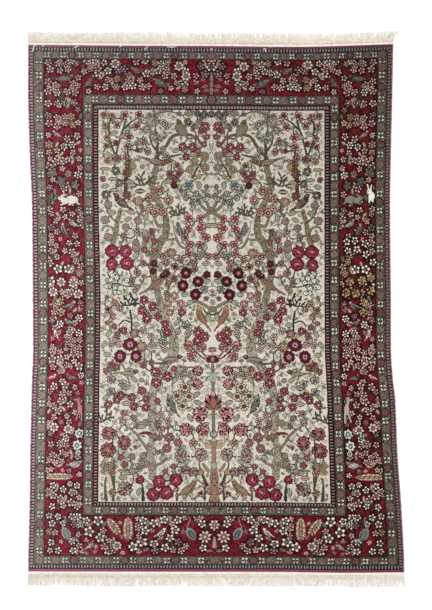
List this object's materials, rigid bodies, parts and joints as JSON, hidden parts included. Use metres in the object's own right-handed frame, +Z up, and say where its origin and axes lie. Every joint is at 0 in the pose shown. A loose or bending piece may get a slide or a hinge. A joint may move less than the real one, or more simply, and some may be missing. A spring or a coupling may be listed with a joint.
{
  "type": "knotted floor rug",
  "caption": "Flat rectangular knotted pile rug with a tree-of-life field in floral borders, wrapped side cords and a lock fringe at each end.",
  "frame": {"origin": "middle of the underside's bounding box, on the floor", "axes": "+Y along the rug's length, towards the end at the top of the picture; +X across it, to the picture's right; +Z up, out of the pile"},
  "size_m": [1.4752, 2.1702, 0.0075],
  "materials": {
    "pile_wool": "matte short cut pile, patterned",
    "selvedge_wool": "matte wrapped wool",
    "warp_cotton": "matte unbleached cotton"
  },
  "bodies": {
    "root": {"rug_pile": "pile_wool", "selvedge_left": "selvedge_wool", "selvedge_right": "selvedge_wool", "fringe_top": "warp_cotton", "fringe_bottom": "warp_cotton"}
  },
  "joints": []
}
